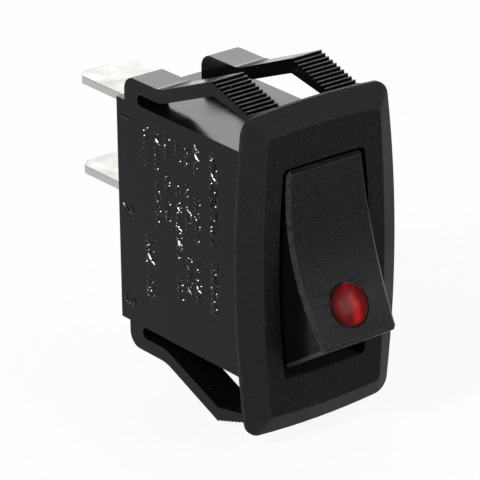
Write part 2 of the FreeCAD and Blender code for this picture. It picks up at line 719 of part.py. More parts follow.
def terminal_1():
    """Upper terminal: blade, leg, and a bent shelf with the fixed contact and a finger."""
    z = TERMINAL_PITCH
    low, high = z - TAB_T / 2, z + TAB_T / 2
    blade = flat_plate(tab_outline(), low, high)
    shelf_low = high - SHELF_REACH
    back = SHELF_Y + TAB_T
    bent = side_profile([(FLOOR_Y - SHOULDER_L / 2, low, 0), (FLOOR_Y - SHOULDER_L / 2, high, 0),
                         (SHELF_Y, high, BEND_IN_R + TAB_T), (SHELF_Y, shelf_low, 0),
                         (back, shelf_low, 0), (back, low, BEND_IN_R)], -LEG_W / 2, LEG_W / 2)
    finger_in, finger_out = PAD_X - FINGER_W / 2, PAD_X + FINGER_W / 2
    finger = front_plate([(0, shelf_low), (finger_in, shelf_low), (finger_in, -FINGER_PAST),
                          (finger_out, -FINGER_PAST), (finger_out, shelf_low + SHELF_BAND),
                          (0, shelf_low + SHELF_BAND)], SHELF_Y, back)
    pip = rod(PIP_W / 2, V(PAD_X, SHELF_Y - PIP_L, 0), V(PAD_X, SHELF_Y, 0))
    hole_z = closed_contact_point().z
    hole = rod(RIVET_SHANK_R + JOINT_GAP, V(0, SHELF_Y - PAST, hole_z), V(0, back + PAST, hole_z))
    return blade.fuse([bent, finger, pip]).cut(hole).removeSplitter()


def terminal_2():
    """Middle terminal: blade, and a leg whose front edge carries the rocking contact."""
    ear_in = BLADE_W / 2 + EAR_GAP
    ear_out = ear_in + EAR_W
    wing = SHOULDER_W / 2
    edge_y = FULCRUM_Y + FULCRUM_GAP
    ear_y = VALLEY_Y - EAR_OUT
    front = [(-wing, SHELF_Y), (-PAD_X - PIP_W / 2, SHELF_Y), (-PAD_X - PIP_W / 2, SHELF_Y - PIP_L),
             (-PAD_X + PIP_W / 2, SHELF_Y - PIP_L), (-PAD_X + PIP_W / 2, SHELF_Y),
             (-ear_out, SHELF_Y), (-ear_out, ear_y), (-ear_in, ear_y), (-ear_in, edge_y),
             (ear_in, edge_y), (ear_in, ear_y), (ear_out, ear_y), (ear_out, FLOOR_Y - SHOULDER_L)]
    return flat_plate(front + tab_outline(), -TAB_T / 2, TAB_T / 2)


def build():
    """Every piece by its node name."""
    upper_lead, lower_lead = resistor_leads()
    left_lead, right_lead = lamp_leads()
    return {
        "housing": housing(),
        "rocker": rocker(),
        "lens": lens(),
        "lamp_holder": lamp_holder(),
        "lamp": lamp(),
        "lamp_lead_left": left_lead,
        "lamp_lead_right": right_lead,
        "resistor": resistor(),
        "resistor_lead_upper": upper_lead,
        "resistor_lead_lower": lower_lead,
        "contact_pad_left": contact_pad(-PAD_X),
        "contact_pad_right": contact_pad(PAD_X),
        "lamp_spring_left": lamp_spring(-PAD_X),
        "lamp_spring_right": lamp_spring(PAD_X),
        "plunger": plunger(),
        "plunger_spring": plunger_spring(),
        "moving_contact": moving_contact(),
        "moving_contact_rivet": moving_rivet(),
        "fixed_contact_rivet": fixed_rivet(),
        "terminal_1": terminal_1(),
        "terminal_2": terminal_2(),
    }


os.makedirs("parts", exist_ok=True)
for name, shape in build().items():
    solids = shape.Solids
    print(name, len(solids), "valid" if shape.isValid() else "INVALID", round(shape.Volume, 3))
    piece = solids[0] if len(solids) == 1 else Part.makeCompound(solids)
    piece.exportStep("parts/" + name + ".step")
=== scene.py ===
"""Illuminated rocker switch, dressed on its packed frame.

Metres, +Z up. The bezel faces -Y and the terminals stand out along +Y.
"""

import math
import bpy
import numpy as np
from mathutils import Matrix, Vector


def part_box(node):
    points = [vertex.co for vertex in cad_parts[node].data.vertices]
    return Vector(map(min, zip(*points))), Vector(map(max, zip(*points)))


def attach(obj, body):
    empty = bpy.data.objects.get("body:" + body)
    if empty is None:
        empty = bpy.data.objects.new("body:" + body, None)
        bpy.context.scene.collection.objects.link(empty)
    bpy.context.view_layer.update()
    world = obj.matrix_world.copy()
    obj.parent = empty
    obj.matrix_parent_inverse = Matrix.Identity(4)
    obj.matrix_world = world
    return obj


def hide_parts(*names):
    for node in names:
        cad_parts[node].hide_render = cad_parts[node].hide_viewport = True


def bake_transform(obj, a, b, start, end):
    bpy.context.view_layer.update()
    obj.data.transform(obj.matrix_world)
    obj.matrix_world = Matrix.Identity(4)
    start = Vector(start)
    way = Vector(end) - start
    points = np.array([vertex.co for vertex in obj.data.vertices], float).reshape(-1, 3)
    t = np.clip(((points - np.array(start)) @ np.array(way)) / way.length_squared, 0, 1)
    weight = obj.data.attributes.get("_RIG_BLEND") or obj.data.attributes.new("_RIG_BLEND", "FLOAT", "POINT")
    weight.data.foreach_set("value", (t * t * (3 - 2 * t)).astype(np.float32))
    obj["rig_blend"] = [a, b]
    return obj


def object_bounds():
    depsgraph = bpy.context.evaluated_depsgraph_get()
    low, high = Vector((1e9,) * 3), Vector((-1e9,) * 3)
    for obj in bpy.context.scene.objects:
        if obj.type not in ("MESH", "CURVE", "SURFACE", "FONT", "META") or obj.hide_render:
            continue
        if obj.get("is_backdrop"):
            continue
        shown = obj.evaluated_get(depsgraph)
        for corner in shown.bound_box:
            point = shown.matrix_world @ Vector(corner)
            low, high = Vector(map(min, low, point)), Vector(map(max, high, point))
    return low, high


bl_info = {
    "name": "Illuminated rocker switch",
    "version": (1, 0, 0),
    "blender": (4, 5, 0),
    "location": "3D View > Sidebar > Switch",
    "description": "Finishes, rounded edges, springs and marks of a snap-in rocker switch",
    "category": "Object",
}

import bmesh
import bpy
from bpy.props import FloatProperty, FloatVectorProperty, IntProperty, PointerProperty
from mathutils import Matrix, Vector

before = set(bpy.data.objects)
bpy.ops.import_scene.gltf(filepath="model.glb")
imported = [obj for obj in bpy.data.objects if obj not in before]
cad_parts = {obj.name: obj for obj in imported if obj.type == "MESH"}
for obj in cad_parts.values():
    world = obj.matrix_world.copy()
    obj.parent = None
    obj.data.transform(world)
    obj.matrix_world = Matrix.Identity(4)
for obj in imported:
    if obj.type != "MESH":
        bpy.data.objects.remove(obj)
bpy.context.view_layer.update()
HOUSING_LOW, HOUSING_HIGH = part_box("housing")

MM = 0.001
PHOTO_PX = 480

# How close two points count as one, and how near a point lies to the plane that it is on
SAME = 0.001 * MM
NEAR = 0.02 * MM

# Planes of the housing: its left side, its top, the bezel's face and rim, and the body's rear
BODY_SIDE_X = -6.15 * MM
BODY_TOP_Z = 10.906 * MM
FACE_Y = HOUSING_LOW.y
RIM_Y = -0.4 * MM
BODY_REAR_Y = HOUSING_HIGH.y

# Half width and half height that hold the opening's edges and leave the bezel's bevel outside
SURROUND_X = 5.8 * MM
SURROUND_Z = 12 * MM

# Crests of the snap arms: least run across the arm, least z and y, and least fold in degrees
CREST_RUN = 2 * MM
CREST_Z = 11.15 * MM
CREST_Y = 0.3 * MM
CREST_FOLD = 50

# Faces picked by where they lie or how they tilt: the bezel's rim, its bevel, the rocker's chamfers
# Small faces in this band along the bezel's rim get a painted highlight line
RIM_HIGHLIGHT_Y = (-0.26 * MM, -0.003 * MM)
RIM_HIGHLIGHT_AREA = 30 * MM * MM
BEVEL_TILT = (-0.97, -0.2)
CHAMFER_TILT = (0.4, 0.85)

# How far each kind of edge is scuffed and painted lighter as a highlight, before the scene's edge setting;
# crests, rim band, rocker edges and chamfers are mostly painted highlight
WORN_AND_LIT = {"fold": 0.12, "rim": 0.1, "opening": 0.25, "body": 0.5, "crest": 1.3, "rim highlight": 0.6,
        "rocker": 1.3, "chamfer": 0.8}

# Specular levels of the plastics
BODY_SHINE = 0.1
BEZEL_SHINE = 0.06
ROCKER_SHINE = 0.115
MARK_SHINE = 0.3
LENS_SHINE = 0.08

# Tones that the settings leave alone
# Light tones of the rounded edges: scuffing, and painted highlight along crests, rims and chamfers
WORN_AND_LIT_BODY = (0.09, 0.088, 0.085)
WORN_AND_LIT_FACE = (0.07, 0.07, 0.068)
GRAIN_CREST = (0.03, 0.03, 0.03)
SPECK = (0.25, 0.25, 0.25)
MARK_BLACK = (0.005, 0.005, 0.005)
# Painted shade round the lens's rim
LENS_RIM_SHADE_RED = (0.03, 0.0005, 0.001)

# Marks on the body's left side, in mm: (y of the row, top z, bottom z, height of the marks)
MARK_ROWS = [
    (6.4, 9.2, 0.3, 1.25),
    (6.4, -1.2, -6.4, 1.35),
    (8.85, 9.3, 6.6, 0.95),
    (8.85, 4.9, -0.1, 0.95),
    (8.85, -1.7, -5.9, 0.95),
    (10.15, 8.9, 6.9, 0.95),
    (10.15, 5.5, 0.2, 0.95),
    (10.15, -1.6, -5.7, 0.95),
    (11.55, 9.0, 7.0, 0.95),
    (11.55, 4.7, -2.6, 0.95),
    (11.55, -4.3, -6.4, 0.95),
    (13.1, 8.9, 6.9, 0.95),
    (13.1, 5.3, 0.6, 0.95),
    (14.6, 9.0, 5.2, 0.95),
    (14.6, 4.4, -0.3, 0.95),
    (16.2, 9.1, 5.1, 1.0),
    (15.9, -1.2, -4.6, 1.7),
    (15.9, -5.6, -8.2, 1.7),
]
# Layers of a row: (sides, width in strokes, length in mark heights or None, share kept, turn in degrees)
MARK_LAYERS = [
    (4, 0.60, 1.0, 0.72, 0.0),
    (4, 0.60, 0.45, 0.60, 90.0),
    (4, 0.60, 0.40, 0.60, 90.0),
    (8, 1.0, None, 0.45, 4.5),
    (8, 0.9, None, 0.45, 4.5),
    (4, 1.0, 1.0, 0.07, -40.5),
]
# A mark's top as a share of its foot, how deep its foot sinks as a share of its height, and how far
# it may stray, along the row in pitches and across it in mark heights
MARK_TOP = 0.27
MARK_SINK = 0.05
MARK_STRAY = (0.35, 0.42)
SEED_STEP = 31.0

# Position numbers with their z, and the y of their column
NUMBER_PLACES = [("1", 9.2 * MM), ("2", 0.3 * MM), ("3", -8.9 * MM)]
NUMBER_Y = 19.3 * MM

# Lens: segments round its axis, and steps from its rim to its crown
LENS_SEGMENTS = 96
DOME_STEPS = 12

# Length of a terminal's root that gets its rounding inside the body
TAB_ROOT = 3 * MM

# Lamps that look at the cut-out's centre: (name, place, width and height, watts)
LAMPS = [
    ("key", (-0.589, -0.102, 0.498), (0.12, 0.12), 3.3),
    ("back", (0.52, 0.64, 0.36), (0.6, 0.45), 3.0),
    ("front", (0.38, -0.61, 0.31), (0.5, 0.34), 2.3),
]
WORLD_LIGHT = 0.35

# Floor: half its side, its gap to the lowest point, and how white it looks
FLOOR_REACH = 3.0
FLOOR_GAP = 0.02 * MM
FLOOR_WHITE = 0.9

WHITE = (1.0, 1.0, 1.0, 1.0)
SENSOR_MM = 36.0


def length(name, value, about):
    """Property of a length in metres."""
    return FloatProperty(name=name, description=about, default=value, min=0.0, precision=5,
                         subtype="DISTANCE", unit="LENGTH")


def share(name, value, about):
    """Property of a share from 0 to 1."""
    return FloatProperty(name=name, description=about, default=value, min=0.0, max=1.0, subtype="FACTOR")


def colour(name, value, about):
    """Property of a colour."""
    return FloatVectorProperty(name=name, description=about, default=value, size=3, min=0.0, max=1.0,
                               subtype="COLOR")


class MouldingSettings(bpy.types.PropertyGroup):
    """Roundings and finishes of the black mouldings."""

    face_round: length("Face rounding", 0.5 * MM, "Rounding between the bezel's face and its bevel")
    rim_round: length("Rim rounding", 0.36 * MM, "Rounding round the bezel's outer rim")
    opening_round: length("Opening rounding", 0.12 * MM, "Rounding round the opening in the bezel")
    body_round: length("Body rounding", 0.12 * MM, "Rounding along the body's edges")
    arm_round: length("Arm rounding", 0.1 * MM, "Rounding along the serrations of the snap arms")
    rocker_round: length("Rocker rounding", 0.16 * MM, "Rounding along the rocker's chamfers")
    body_black: colour("Body black", (0.0035, 0.0035, 0.0034), "Colour of the smooth body")
    bezel_black: colour("Bezel black", (0.0058, 0.0058, 0.0056), "Colour of the bezel's flat face")
    # Lighter than the face's colour: painted light on the bevel
    lit_bevel_black: colour("Bevel black", (0.0143, 0.0143, 0.0139), "Colour of the bezel's rubbed bevel")
    rocker_black: colour("Rocker black", (0.0025, 0.0025, 0.0025), "Colour of the grained rocker")
    gloss: share("Body roughness", 0.14, "Roughness of the smooth body")
    bezel_matt: share("Bezel roughness", 0.48, "Roughness of the grained bezel")
    rocker_matt: share("Rocker roughness", 0.36, "Roughness of the grained rocker")
    # Share of the light edge tone: scuffing, and painted highlight on crests, rims and chamfers
    wear_and_lit: share("Edge wear", 0.6, "How far the rounded edges are rubbed lighter")
    grain: length("Grain size", 0.1 * MM, "Size of the moulded grain")
    grain_depth: length("Grain depth", 0.02 * MM, "Depth of the moulded grain")


class MarkSettings(bpy.types.PropertyGroup):
    """Raised marks and numbers on the body's side."""

    number_size: length("Number size", 2.1 * MM, "Type size of the position numbers")
    number_raise: length("Number height", 0.11 * MM, "How far the numbers stand out")
    number_slope: length("Number slope", 0.06 * MM, "Width of the sloped sides of the numbers")
    mark_raise: length("Mark height", 0.1 * MM, "How far the marks stand out")
    mark_pitch: length("Mark pitch", 0.42 * MM, "Distance between marks along a row")
    mark_width: length("Stroke width", 0.26 * MM, "Width of a mark's strokes at their foot")
    mark_seed: IntProperty(name="Seed", description="Order of the marks", default=7, min=0)


class LensSettings(bpy.types.PropertyGroup):
    """The red lens, with painted light in a band and painted shade round its rim."""

    red: colour("Lens red", (0.17, 0.002, 0.004), "Colour of the lens")
    # Painted light: the brighter red band inside the lens
    bright_red: colour("Band red", (0.60, 0.005, 0.011), "Colour of the lit band inside the lens")
    clear: share("Transmission", 0.3, "How much light passes the lens")
    dome: length("Dome height", 0.35 * MM, "How far the lens stands out at its middle")
    rim_radius: length("Rim radius", 2.07 * MM, "Radius of the lens at the rocker's face")
    rim_depth: length("Rim depth", 0.75 * MM, "Length of the lens between its dome and flange")
    rim_round: length("Rim rounding", 0.1 * MM, "Rounding where the dome meets the rim")


class SpringSettings(bpy.types.PropertyGroup):
    """The three coil springs."""

    lamp_turns: IntProperty(name="Lamp spring turns", description="Turns of each lamp spring",
                            default=7, min=1)
    plunger_turns: IntProperty(name="Plunger spring turns", description="Turns of the plunger spring",
                               default=5, min=1)
    lamp_wire: length("Lamp spring wire", 0.1 * MM, "Wire radius of the lamp springs")
    plunger_wire: length("Plunger spring wire", 0.12 * MM, "Wire radius of the plunger spring")


class MetalSettings(bpy.types.PropertyGroup):
    """Tabs and contacts."""

    tin: colour("Tin", (0.61, 0.605, 0.59), "Colour of the tin plate")
    tin_roughness: share("Tin roughness", 0.55, "Roughness of the tin plate")
    tab_round: length("Tab rounding", 0.07 * MM, "Rounding along the tabs' edges")


class StageSettings(bpy.types.PropertyGroup):
    """Camera, lamps and floor."""

    azimuth: FloatProperty(name="Azimuth", description="Camera's turn from the front",
                           default=math.radians(-39.286), subtype="ANGLE", unit="ROTATION")
    elevation: FloatProperty(name="Elevation", description="Camera's height angle",
                             default=math.radians(23.463), subtype="ANGLE", unit="ROTATION")
    roll: FloatProperty(name="Roll", description="Camera's roll",
                        default=math.radians(0.282), subtype="ANGLE", unit="ROTATION")
    distance: length("Distance", 326.881 * MM, "Camera's distance from the panel cut-out's centre")
    focal_px: FloatProperty(name="Focal length", description="Focal length in pixels of the photo's frame",
                            default=3694.1)
    origin_px: FloatVectorProperty(name="Origin", description="Pixel of the cut-out's centre",
                                   default=(314.205, 258.547), size=2)
    floor_colour: colour("Floor", (0.93, 0.93, 0.93), "Colour of the floor")


SETTINGS = {
    "switch_moulding": MouldingSettings,
    "switch_marks": MarkSettings,
    "switch_lens": LensSettings,
    "switch_springs": SpringSettings,
    "switch_metal": MetalSettings,
    "switch_stage": StageSettings,
}


def add(tree, kind, settings=(), **inputs):
    """Adds a node, sets its properties and fills or links its inputs by name."""
    node = tree.nodes.new(kind)
    for key, value in dict(settings).items():
        setattr(node, key, value)
    for key, value in inputs.items():
        fill(tree, node.inputs[key.replace("_", " ")], value)
    return node


def fill(tree, socket, value):
    """Links a socket to an output, or sets its value."""
    if isinstance(value, bpy.types.NodeSocket):
        tree.links.new(value, socket)
    else:
        socket.default_value = value


def calc(tree, operation, *values):
    """Output of a Math node."""
    node = add(tree, "ShaderNodeMath", {"operation": operation})
    for socket, value in zip(node.inputs, values):
        fill(tree, socket, value)
    return node.outputs[0]


def new_group(name, kind, inputs, outputs):
    """An empty node group, with its input sockets' outputs and its output node."""
    tree = bpy.data.node_groups.new(name, kind)
    for label, socket_type, value in inputs:
        socket = tree.interface.new_socket(label, in_out="INPUT", socket_type=socket_type)
        if value is not None:
            socket.default_value = value
    for label, socket_type in outputs:
        tree.interface.new_socket(label, in_out="OUTPUT", socket_type=socket_type)
    return tree, tree.nodes.new("NodeGroupInput").outputs, tree.nodes.new("NodeGroupOutput")


def once(name, make):
    """The node group of that name, made if it isn't there yet."""
    return bpy.data.node_groups.get(name) or make(name)


def make_grain(name):
    """Fine moulded grain: a height, and the grain's bright crests."""
    tree, given, out = new_group(name, "ShaderNodeTree", [("Size", "NodeSocketFloat", 0.2 * MM)],
                                 [("Height", "NodeSocketFloat"), ("Crests", "NodeSocketFloat")])
    place = add(tree, "ShaderNodeTexCoord").outputs["Object"]
    scale = calc(tree, "DIVIDE", 1.0, given["Size"])
    cells = add(tree, "ShaderNodeTexVoronoi", {"feature": "SMOOTH_F1"}, Vector=place, Scale=scale,
                Smoothness=0.7)
    coarser = calc(tree, "MULTIPLY", scale, 0.7)
    clouds = add(tree, "ShaderNodeTexNoise", Vector=place, Scale=coarser, Detail=2.0)
    height = calc(tree, "MULTIPLY_ADD", cells.outputs["Distance"], 0.6, clouds.outputs["Fac"])
    crests = add(tree, "ShaderNodeMapRange", Value=height, From_Min=0.78, From_Max=1.05)
    fill(tree, out.inputs["Height"], height)
    fill(tree, out.inputs["Crests"], crests.outputs["Result"])
    return tree


def make_patches(name):
    """Slow variation between two values."""
    tree, given, out = new_group(name, "ShaderNodeTree", [
        ("Size", "NodeSocketFloat", 5 * MM), ("Low", "NodeSocketFloat", 0.0),
        ("High", "NodeSocketFloat", 1.0),
    ], [("Value", "NodeSocketFloat")])
    place = add(tree, "ShaderNodeTexCoord").outputs["Object"]
    scale = calc(tree, "DIVIDE", 1.0, given["Size"])
    clouds = add(tree, "ShaderNodeTexNoise", Vector=place, Scale=scale, Detail=4.0)
    spread = add(tree, "ShaderNodeMapRange", Value=clouds.outputs["Fac"], From_Min=0.3, From_Max=0.7,
                 To_Min=given["Low"], To_Max=given["High"])
    fill(tree, out.inputs["Value"], spread.outputs["Result"])
    return tree


def make_rub_and_light(name):
    """Mask of rounded edges that are scuffed lighter and painted lighter as a highlight, in broken
    stretches.
    """
    tree, given, out = new_group(name, "ShaderNodeTree", [
        ("Worn", "NodeSocketFloat", 0.0), ("Amount", "NodeSocketFloat", 0.5),
    ], [("Mask", "NodeSocketFloat")])
    place = add(tree, "ShaderNodeTexCoord").outputs["Object"]
    breaks = add(tree, "ShaderNodeTexNoise", Vector=place, Scale=1.0 / (0.5 * MM), Detail=3.0)
    kept = add(tree, "ShaderNodeMapRange", Value=breaks.outputs["Fac"], From_Min=0.3, From_Max=0.65,
               To_Min=0.25)
    broken = calc(tree, "MULTIPLY", given["Worn"], kept.outputs["Result"])
    fill(tree, out.inputs["Mask"], calc(tree, "MULTIPLY", broken, given["Amount"]))
    return tree


def make_dust(name):
    """Mask of a few tiny specks."""
    tree, given, out = new_group(name, "ShaderNodeTree", [
        ("Spacing", "NodeSocketFloat", 1.5 * MM), ("Speck", "NodeSocketFloat", 0.05),
    ], [("Mask", "NodeSocketFloat")])
    place = add(tree, "ShaderNodeTexCoord").outputs["Object"]
    scale = calc(tree, "DIVIDE", 1.0, given["Spacing"])
    cells = add(tree, "ShaderNodeTexVoronoi", Vector=place, Scale=scale)
    fill(tree, out.inputs["Mask"], calc(tree, "LESS_THAN", cells.outputs["Distance"], given["Speck"]))
    return tree


def make_rolled(name):
    """Fine lines of rolled metal along the object's Y: a height, and a tone."""
    tree, given, out = new_group(name, "ShaderNodeTree", [("Size", "NodeSocketFloat", 0.1 * MM)],
                                 [("Height", "NodeSocketFloat"), ("Tone", "NodeSocketFloat")])
    place = add(tree, "ShaderNodeTexCoord").outputs["Object"]
    stretch = add(tree, "ShaderNodeMapping", Vector=place, Scale=(1.0, 0.04, 1.0))
    lines = add(tree, "ShaderNodeTexNoise", Vector=stretch.outputs["Vector"],
                Scale=calc(tree, "DIVIDE", 1.0, given["Size"]), Detail=3.0)
    tone = add(tree, "ShaderNodeMapRange", Value=lines.outputs["Fac"], From_Min=0.3, From_Max=0.7,
               To_Min=0.9, To_Max=1.0)
    fill(tree, out.inputs["Height"], lines.outputs["Fac"])
    fill(tree, out.inputs["Tone"], tone.outputs["Result"])
    return tree


def placed(tree, name, make, **inputs):
    """A shared group placed in a material."""
    return add(tree, "ShaderNodeGroup", {"node_tree": once(name, make)}, **inputs)


def new_material(name):
    """A material with its node tree and its Principled shader."""
    material = bpy.data.materials.new(name)
    material.use_nodes = True
    tree = material.node_tree
    return material, tree, tree.nodes["Principled BSDF"]


def blended(tree, mask, first, second):
    """Colour between two colours."""
    node = add(tree, "ShaderNodeMix", {"data_type": "RGBA"})
    fill(tree, node.inputs["Factor"], mask)
    for socket, value in ((node.inputs[6], first), (node.inputs[7], second)):
        fill(tree, socket, value if isinstance(value, bpy.types.NodeSocket) else (*value, 1.0))
    return node.outputs[2]


def tinted(tree, tint, tone):
    """A colour times a tone."""
    return blended(tree, tone, (0.0, 0.0, 0.0), tint)


def bumped(tree, shader, height, depth, strength=1.0):
    """Feeds a height to a shader's normal."""
    bump = add(tree, "ShaderNodeBump", Height=height, Distance=depth, Strength=strength)
    fill(tree, shader.inputs["Normal"], bump.outputs["Normal"])


def patched(tree, size, low, high):
    """Slow variation between two values, in soft patches of a size."""
    return placed(tree, "soft patches", make_patches, Size=size, Low=low, High=high).outputs["Value"]


def rubbed_and_lit(tree, amount):
    """Mask of the piece's rounded edges, scuffed lighter and painted lighter as a highlight."""
    worn = add(tree, "ShaderNodeAttribute", {"attribute_name": "worn"}).outputs["Fac"]
    return placed(tree, "rubbed edges", make_rub_and_light, Worn=worn, Amount=amount).outputs["Mask"]


def body_nylon():
    """Smooth black nylon, with soft patches of gloss, a few specks, and edges scuffed and painted lighter as
    a highlight.
    """
    settings = bpy.context.scene.switch_moulding
    material, tree, shader = new_material("smooth black nylon")
    rub = rubbed_and_lit(tree, settings.wear_and_lit)
    dust = placed(tree, "specks", make_dust, Spacing=1.4 * MM, Speck=0.035).outputs["Mask"]
    base = blended(tree, rub, settings.body_black, WORN_AND_LIT_BODY)
    faint = calc(tree, "MULTIPLY", dust, 0.5)
    fill(tree, shader.inputs["Base Color"], blended(tree, faint, base, SPECK))
    gloss = settings.gloss
    fill(tree, shader.inputs["Roughness"], patched(tree, 4 * MM, gloss - 0.05, gloss + 0.07))
    bumped(tree, shader, patched(tree, 1.5 * MM, 0.0, 1.0), 0.0012 * MM)
    shader.inputs["Specular IOR Level"].default_value = BODY_SHINE
    return material


def mark_nylon():
    """Polished black nylon of the raised marks."""
    material, tree, shader = new_material("polished black nylon")
    fill(tree, shader.inputs["Base Color"], tinted(tree, MARK_BLACK, patched(tree, 2 * MM, 0.7, 1.0)))
    fill(tree, shader.inputs["Roughness"], patched(tree, 1 * MM, 0.08, 0.14))
    shader.inputs["Specular IOR Level"].default_value = MARK_SHINE
    return material


def face_nylon(name, black, matt, shine):
    """Grained black nylon of the bezel and the rocker, its edges scuffed and painted lighter as a highlight.
    """
    settings = bpy.context.scene.switch_moulding
    material, tree, shader = new_material(name)
    grain = placed(tree, "moulded grain", make_grain, Size=settings.grain)
    crests = calc(tree, "MULTIPLY", grain.outputs["Crests"], 0.5)
    base = blended(tree, crests, black, GRAIN_CREST)
    worn = blended(tree, rubbed_and_lit(tree, settings.wear_and_lit), base, WORN_AND_LIT_FACE)
    fill(tree, shader.inputs["Base Color"], worn)
    fill(tree, shader.inputs["Roughness"], patched(tree, 5 * MM, matt - 0.05, matt + 0.05))
    bumped(tree, shader, grain.outputs["Height"], settings.grain_depth)
    shader.inputs["Specular IOR Level"].default_value = shine
    return material


def make_lens_inside(name):
    """Inside of the lens: a mask round its rim for painted shade, and a mask of the band beside its middle
    for painted light.
    """
    tree, given, out = new_group(name, "ShaderNodeTree", [
        ("Centre", "NodeSocketVector", None), ("Axis", "NodeSocketVector", None),
        ("Radius", "NodeSocketFloat", 2 * MM), ("Band", "NodeSocketFloat", 0.5 * MM),
        ("Width", "NodeSocketFloat", 0.7 * MM),
    ], [("Rim", "NodeSocketFloat"), ("Lit", "NodeSocketFloat")])
    place = add(tree, "ShaderNodeTexCoord").outputs["Object"]
    from_middle = add(tree, "ShaderNodeVectorMath", {"operation": "SUBTRACT"})
    fill(tree, from_middle.inputs[0], place)
    fill(tree, from_middle.inputs[1], given["Centre"])
    across = add(tree, "ShaderNodeVectorMath", {"operation": "CROSS_PRODUCT"})
    fill(tree, across.inputs[0], from_middle.outputs["Vector"])
    fill(tree, across.inputs[1], given["Axis"])
    distance = add(tree, "ShaderNodeVectorMath", {"operation": "LENGTH"}, Vector=across.outputs["Vector"])
    reach = calc(tree, "DIVIDE", distance.outputs["Value"], given["Radius"])
    smooth = {"interpolation_type": "SMOOTHSTEP"}
    rim = add(tree, "ShaderNodeMapRange", smooth, Value=reach, From_Min=0.7, From_Max=1.0)
    across_x = add(tree, "ShaderNodeSeparateXYZ", Vector=place).outputs["X"]
    aside = calc(tree, "ABSOLUTE", calc(tree, "SUBTRACT", across_x, given["Band"]))
    off_band = calc(tree, "DIVIDE", aside, given["Width"])
    band = add(tree, "ShaderNodeMapRange", smooth, Value=off_band, From_Min=0.1, From_Max=1.0,
               To_Min=1.0, To_Max=0.0)
    clouds = add(tree, "ShaderNodeTexNoise", Vector=place, Scale=1.0 / (1.1 * MM), Detail=2.0)
    uneven = add(tree, "ShaderNodeMapRange", Value=clouds.outputs["Fac"], From_Min=0.3, From_Max=0.55)
    fill(tree, out.inputs["Rim"], rim.outputs["Result"])
    fill(tree, out.inputs["Lit"], calc(tree, "MULTIPLY", band.outputs["Result"], uneven.outputs["Result"]))
    return tree


def lens_red(centre, axis):
    """Clear red plastic, with painted shade round its rim and painted light in a band inside."""
    settings = bpy.context.scene.switch_lens
    material, tree, shader = new_material("clear red plastic")
    inside = placed(tree, "inside of the lens", make_lens_inside, Centre=centre, Axis=axis,
                    Radius=settings.rim_radius, Band=0.35 * MM, Width=0.8 * MM)
    lit = blended(tree, inside.outputs["Lit"], settings.red, settings.bright_red)
    fill(tree, shader.inputs["Base Color"], blended(tree, inside.outputs["Rim"], lit, LENS_RIM_SHADE_RED))
    fill(tree, shader.inputs["Roughness"], patched(tree, 0.8 * MM, 0.18, 0.3))
    shader.inputs["Transmission Weight"].default_value = settings.clear
    shader.inputs["IOR"].default_value = 1.33
    shader.inputs["Specular IOR Level"].default_value = LENS_SHINE
    return material


def plain_finish(name, tint, roughness, metallic=0.0, clear=0.0, patch=1.2 * MM, uneven=0.08):
    """Finish of an inner piece: a tint and a gloss that vary a little."""
    material, tree, shader = new_material(name)
    tone = patched(tree, patch, 1.0 - uneven, 1.0)
    fill(tree, shader.inputs["Base Color"], tinted(tree, tint, tone))
    fill(tree, shader.inputs["Roughness"], patched(tree, patch, roughness * 0.8, roughness * 1.2))
    shader.inputs["Metallic"].default_value = metallic
    shader.inputs["Transmission Weight"].default_value = clear
    return material


def tin_plate():
    """Bright tin plate with fine rolling lines."""
    settings = bpy.context.scene.switch_metal
    material, tree, shader = new_material("tin plate")
    lines = placed(tree, "rolled lines", make_rolled, Size=0.12 * MM)
    fill(tree, shader.inputs["Base Color"], tinted(tree, settings.tin, lines.outputs["Tone"]))
    matt = settings.tin_roughness
    fill(tree, shader.inputs["Roughness"], patched(tree, 2.5 * MM, matt - 0.06, matt + 0.08))
    bumped(tree, shader, lines.outputs["Height"], 0.003 * MM)
    shader.inputs["Metallic"].default_value = 1.0
    return material


def pale_floor(tint):
    """Pale floor that looks white and keeps a faint shadow."""
    material = plain_finish("pale floor", tint, 0.8, patch=0.3, uneven=0.01)
    tree = material.node_tree
    rays = add(tree, "ShaderNodeLightPath").outputs
    seen = calc(tree, "MAXIMUM", rays["Is Camera Ray"],
                calc(tree, "MAXIMUM", rays["Is Glossy Ray"], rays["Is Transmission Ray"]))
    white = add(tree, "ShaderNodeEmission", Color=WHITE, Strength=1.0)
    both = add(tree, "ShaderNodeMixShader", Fac=calc(tree, "MULTIPLY", seen, FLOOR_WHITE))
    tree.links.new(tree.nodes["Principled BSDF"].outputs["BSDF"], both.inputs[1])
    tree.links.new(white.outputs["Emission"], both.inputs[2])
    tree.links.new(both.outputs["Shader"], tree.nodes["Material Output"].inputs["Surface"])
    return material


def new_piece(name, mesh, *materials):
    """A linked object at the origin, with its materials."""
    piece = bpy.data.objects.new(name, mesh)
    bpy.context.scene.collection.objects.link(piece)
    piece.data.materials.clear()
    for material in materials:
        piece.data.materials.append(material)
    return piece


def merged(node):
    """A bmesh of a CAD node, with its triangles joined and its flat stretches made one face."""
    bm = bmesh.new()
    bm.from_mesh(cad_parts[node].data)
    bmesh.ops.remove_doubles(bm, verts=bm.verts, dist=SAME)
    bmesh.ops.dissolve_limit(bm, angle_limit=math.radians(0.3), verts=bm.verts, edges=bm.edges)
    return bm


def round_off(bm, wanted, width, segments=3, least=20.0, worn=1.0):
    """Rounds the folds sharper than an angle, where wanted(middle of the edge, its run) holds."""
    folds = []
    for edge in bm.edges:
        if not edge.is_manifold or edge.calc_face_angle() < math.radians(least):
            continue
        ends = [vert.co for vert in edge.verts]
        if wanted((ends[0] + ends[1]) / 2, (ends[1] - ends[0]).normalized()):
            folds.append(edge)
    round_wear_and_light(bm, folds, width, segments, worn)


